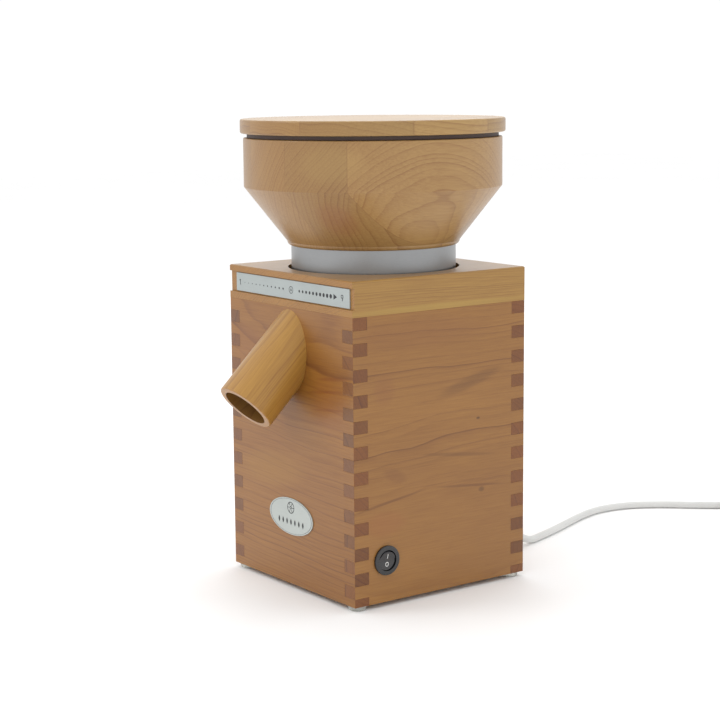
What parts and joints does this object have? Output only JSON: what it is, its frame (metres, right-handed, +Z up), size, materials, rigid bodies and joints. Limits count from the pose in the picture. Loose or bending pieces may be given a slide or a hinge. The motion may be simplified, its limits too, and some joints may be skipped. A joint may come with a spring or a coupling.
{
  "type": "electric grain mill",
  "caption": "Electric stone grain mill: finger-jointed wooden housing with motor, spout and switch; turned hopper bowl on a threaded adjusting ring, with lid.",
  "frame": {"origin": "mill axis on the table plane, under the hopper", "axes": "+Z up along the mill axis; the spout points to -Y, the switch is on the +X side and the mains lead leaves to +Y"},
  "size_m": [0.2545, 0.6035, 0.39],
  "materials": {
    "housing_wood": "oiled, straight grain with dark end-grain fingers",
    "board_wood": "oiled, yellower straight grain",
    "block_wood": "raw",
    "spout_wood": "oiled beech, light",
    "bowl_wood": "oiled, glued blocks, turned",
    "lid_wood": "oiled, turned",
    "plate_aluminium": "satin, printed dots",
    "floor_plate": "powder coated",
    "screw_steel": "zinc plated",
    "foot_clear": "translucent",
    "chamber_aluminium": "die cast",
    "felt": "pressed felt",
    "rubber": "matt black",
    "stone": "bonded corundum and ceramic grit",
    "carrier_aluminium": "turned",
    "carrier_plastic": "moulded",
    "ring_aluminium": "satin turned",
    "lamination": "stacked sheet steel",
    "copper": "enamelled copper wire",
    "shaft_steel": "ground",
    "fan_plastic": "moulded",
    "capacitor_plastic": "moulded can",
    "terminal_plastic": "moulded",
    "terminal_brass": "plated",
    "switch_black": "moulded black",
    "cord_grey": "light grey sheath",
    "tie_plastic": "wire tie",
    "plug_plastic": "moulded light grey",
    "pin_steel": "nickel plated"
  },
  "bodies": {
    "housing": {"front_panel": "housing_wood", "back_panel": "housing_wood", "left_panel": "housing_wood", "right_panel": "housing_wood", "top_board": "board_wood", "corner_blocks": "block_wood", "spout": "spout_wood", "scale_plate": "plate_aluminium", "badge_plate": "plate_aluminium", "floor_plate": "floor_plate", "floor_screws": "screw_steel", "feet": "foot_clear", "grinding_chamber": "chamber_aluminium", "chamber_bolts": "screw_steel", "shaft_seal": "felt", "lug_buffers": "rubber", "upper_end_shield": "chamber_aluminium", "lower_end_shield": "chamber_aluminium", "stator_stack": "lamination", "stator_windings": "copper", "upper_bearing": "shaft_steel", "lower_bearing": "shaft_steel", "tie_bolts": "screw_steel", "thermal_cutout": "switch_black", "capacitor": "capacitor_plastic", "capacitor_clip": "screw_steel", "clip_screw": "screw_steel", "terminal_block": "terminal_plastic", "terminal_screws": "terminal_brass", "switch_body": "switch_black", "switch_nut": "switch_black", "switch_blades": "terminal_brass", "cord_gland": "cord_grey", "mains_cord": "cord_grey", "cord_coil": "cord_grey", "coil_tie": "tie_plastic", "plug_body": "plug_plastic", "plug_pins": "pin_steel"},
    "drive": {"motor_shaft": "shaft_steel", "rotor_core": "lamination", "cooling_fan": "fan_plastic", "lower_stone_carrier": "carrier_aluminium", "lower_stone": "stone", "stone_screw": "screw_steel", "stone_washer": "screw_steel"},
    "stone_carriage": {"upper_stone_carrier": "carrier_plastic", "upper_stone": "stone"},
    "hopper": {"adjusting_ring": "ring_aluminium", "ring_screws": "screw_steel", "hopper_bowl": "bowl_wood", "feed_tube": "carrier_plastic"},
    "lid": {"lid": "lid_wood", "lid_gasket": "rubber"},
    "rocker": {"switch_rocker": "switch_black"}
  },
  "joints": [
    {"name": "motor_spin", "type": "hinge", "parent": "housing", "child": "drive", "pos_m": [0, 0, 0.13], "axis": [0, 0, 1], "continuous": true},
    {"name": "stone_lift", "type": "slide", "parent": "housing", "child": "stone_carriage", "axis": [0, 0, 1], "range_m": [0, 0.0017]},
    {"name": "hopper_turn", "type": "hinge", "parent": "stone_carriage", "child": "hopper", "pos_m": [0, 0, 0.27], "axis": [0, 0, 1], "range_deg": [0, 150]},
    {"name": "lid_lift", "type": "slide", "parent": "hopper", "child": "lid", "axis": [0, 0, 1], "range_m": [0, 0.08]},
    {"name": "switch_press", "type": "hinge", "parent": "housing", "child": "rocker", "pos_m": [0.0875, -0.0557, 0.0387], "axis": [0, 1, 0], "range_deg": [-16, 0]}
  ],
  "couplings": [
    {"joint": "stone_lift", "follows": "hopper_turn", "m_per_rad": 0.00063662}
  ]
}
